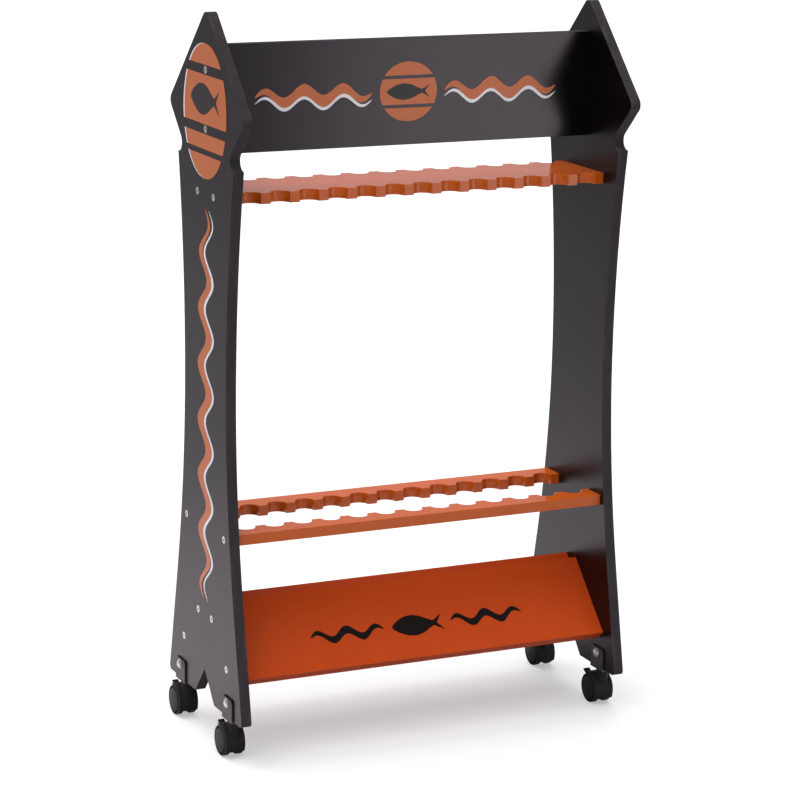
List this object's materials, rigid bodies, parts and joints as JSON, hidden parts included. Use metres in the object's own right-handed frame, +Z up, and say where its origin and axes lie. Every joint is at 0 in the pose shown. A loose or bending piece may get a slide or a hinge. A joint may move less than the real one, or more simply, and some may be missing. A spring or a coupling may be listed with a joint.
{
  "type": "fishing rod rack",
  "caption": "Free-standing double-sided fishing rod rack: diamond-headed side panels, notched rests, sloping butt boards, header board and braked swivel casters.",
  "frame": {"origin": "on the floor, under the middle of the rack's overall box", "axes": "+X across the rack to its right, +Y to the rear, +Z up; -Y is the front seen in the picture"},
  "size_m": [0.6486, 0.2938, 1.0815],
  "materials": {
    "black_board": "lacquered board, satin",
    "orange_board": "lacquered board, satin",
    "black_bracket": "satin black",
    "caster_body": "moulded black",
    "caster_wheel": "hard black tread and face",
    "steel_fastener": "zinc plated"
  },
  "bodies": {
    "frame": {"left_side_panel": "black_board", "right_side_panel": "black_board", "header_board": "black_board", "upper_rod_rest": "orange_board", "front_lower_slat": "orange_board", "rear_lower_slat": "orange_board", "front_butt_board": "orange_board", "rear_butt_board": "orange_board", "left_panel_screws": "steel_fastener", "right_panel_screws": "steel_fastener", "front_left_bracket": "black_bracket", "front_left_clamp_bolt": "steel_fastener", "front_left_clamp_nut": "steel_fastener", "front_left_kingpin": "steel_fastener", "front_right_bracket": "black_bracket", "front_right_clamp_bolt": "steel_fastener", "front_right_clamp_nut": "steel_fastener", "front_right_kingpin": "steel_fastener", "rear_left_bracket": "black_bracket", "rear_left_clamp_bolt": "steel_fastener", "rear_left_clamp_nut": "steel_fastener", "rear_left_kingpin": "steel_fastener", "rear_right_bracket": "black_bracket", "rear_right_clamp_bolt": "steel_fastener", "rear_right_clamp_nut": "steel_fastener", "rear_right_kingpin": "steel_fastener"},
    "front_left_swivel": {"front_left_hood": "caster_body", "front_left_axle": "steel_fastener", "front_left_brake_pin": "steel_fastener"},
    "front_left_outer_wheel": {"front_left_outer_wheel": "caster_wheel"},
    "front_left_inner_wheel": {"front_left_inner_wheel": "caster_wheel"},
    "front_left_pedal": {"front_left_brake_pedal": "caster_body"},
    "front_right_swivel": {"front_right_hood": "caster_body", "front_right_axle": "steel_fastener", "front_right_brake_pin": "steel_fastener"},
    "front_right_outer_wheel": {"front_right_outer_wheel": "caster_wheel"},
    "front_right_inner_wheel": {"front_right_inner_wheel": "caster_wheel"},
    "front_right_pedal": {"front_right_brake_pedal": "caster_body"},
    "rear_left_swivel": {"rear_left_hood": "caster_body", "rear_left_axle": "steel_fastener", "rear_left_brake_pin": "steel_fastener"},
    "rear_left_outer_wheel": {"rear_left_outer_wheel": "caster_wheel"},
    "rear_left_inner_wheel": {"rear_left_inner_wheel": "caster_wheel"},
    "rear_left_pedal": {"rear_left_brake_pedal": "caster_body"},
    "rear_right_swivel": {"rear_right_hood": "caster_body", "rear_right_axle": "steel_fastener", "rear_right_brake_pin": "steel_fastener"},
    "rear_right_outer_wheel": {"rear_right_outer_wheel": "caster_wheel"},
    "rear_right_inner_wheel": {"rear_right_inner_wheel": "caster_wheel"},
    "rear_right_pedal": {"rear_right_brake_pedal": "caster_body"}
  },
  "joints": [
    {"name": "front_left_swivel_turn", "type": "hinge", "parent": "frame", "child": "front_left_swivel", "pos_m": [-0.307, -0.096, 0.0582], "axis": [0, 0, 1], "continuous": true},
    {"name": "front_left_outer_wheel_spin", "type": "hinge", "parent": "front_left_swivel", "child": "front_left_outer_wheel", "pos_m": [-0.3175, -0.0805, 0.023], "axis": [1, 0, 0], "continuous": true},
    {"name": "front_left_inner_wheel_spin", "type": "hinge", "parent": "front_left_swivel", "child": "front_left_inner_wheel", "pos_m": [-0.2965, -0.0805, 0.023], "axis": [1, 0, 0], "continuous": true},
    {"name": "front_left_brake_press", "type": "hinge", "parent": "front_left_swivel", "child": "front_left_pedal", "pos_m": [-0.307, -0.0695, 0.0385], "axis": [-1, 0, 0], "range_deg": [0, 17]},
    {"name": "front_right_swivel_turn", "type": "hinge", "parent": "frame", "child": "front_right_swivel", "pos_m": [0.307, -0.096, 0.0582], "axis": [0, 0, 1], "continuous": true},
    {"name": "front_right_outer_wheel_spin", "type": "hinge", "parent": "front_right_swivel", "child": "front_right_outer_wheel", "pos_m": [0.3175, -0.0805, 0.023], "axis": [1, 0, 0], "continuous": true},
    {"name": "front_right_inner_wheel_spin", "type": "hinge", "parent": "front_right_swivel", "child": "front_right_inner_wheel", "pos_m": [0.2965, -0.0805, 0.023], "axis": [1, 0, 0], "continuous": true},
    {"name": "front_right_brake_press", "type": "hinge", "parent": "front_right_swivel", "child": "front_right_pedal", "pos_m": [0.307, -0.0695, 0.0385], "axis": [-1, 0, 0], "range_deg": [0, 17]},
    {"name": "rear_left_swivel_turn", "type": "hinge", "parent": "frame", "child": "rear_left_swivel", "pos_m": [-0.307, 0.096, 0.0582], "axis": [0, 0, 1], "continuous": true},
    {"name": "rear_left_outer_wheel_spin", "type": "hinge", "parent": "rear_left_swivel", "child": "rear_left_outer_wheel", "pos_m": [-0.3175, 0.1115, 0.023], "axis": [1, 0, 0], "continuous": true},
    {"name": "rear_left_inner_wheel_spin", "type": "hinge", "parent": "rear_left_swivel", "child": "rear_left_inner_wheel", "pos_m": [-0.2965, 0.1115, 0.023], "axis": [1, 0, 0], "continuous": true},
    {"name": "rear_left_brake_press", "type": "hinge", "parent": "rear_left_swivel", "child": "rear_left_pedal", "pos_m": [-0.307, 0.1225, 0.0385], "axis": [-1, 0, 0], "range_deg": [0, 17]},
    {"name": "rear_right_swivel_turn", "type": "hinge", "parent": "frame", "child": "rear_right_swivel", "pos_m": [0.307, 0.096, 0.0582], "axis": [0, 0, 1], "continuous": true},
    {"name": "rear_right_outer_wheel_spin", "type": "hinge", "parent": "rear_right_swivel", "child": "rear_right_outer_wheel", "pos_m": [0.3175, 0.1115, 0.023], "axis": [1, 0, 0], "continuous": true},
    {"name": "rear_right_inner_wheel_spin", "type": "hinge", "parent": "rear_right_swivel", "child": "rear_right_inner_wheel", "pos_m": [0.2965, 0.1115, 0.023], "axis": [1, 0, 0], "continuous": true},
    {"name": "rear_right_brake_press", "type": "hinge", "parent": "rear_right_swivel", "child": "rear_right_pedal", "pos_m": [0.307, 0.1225, 0.0385], "axis": [-1, 0, 0], "range_deg": [0, 17]}
  ]
}
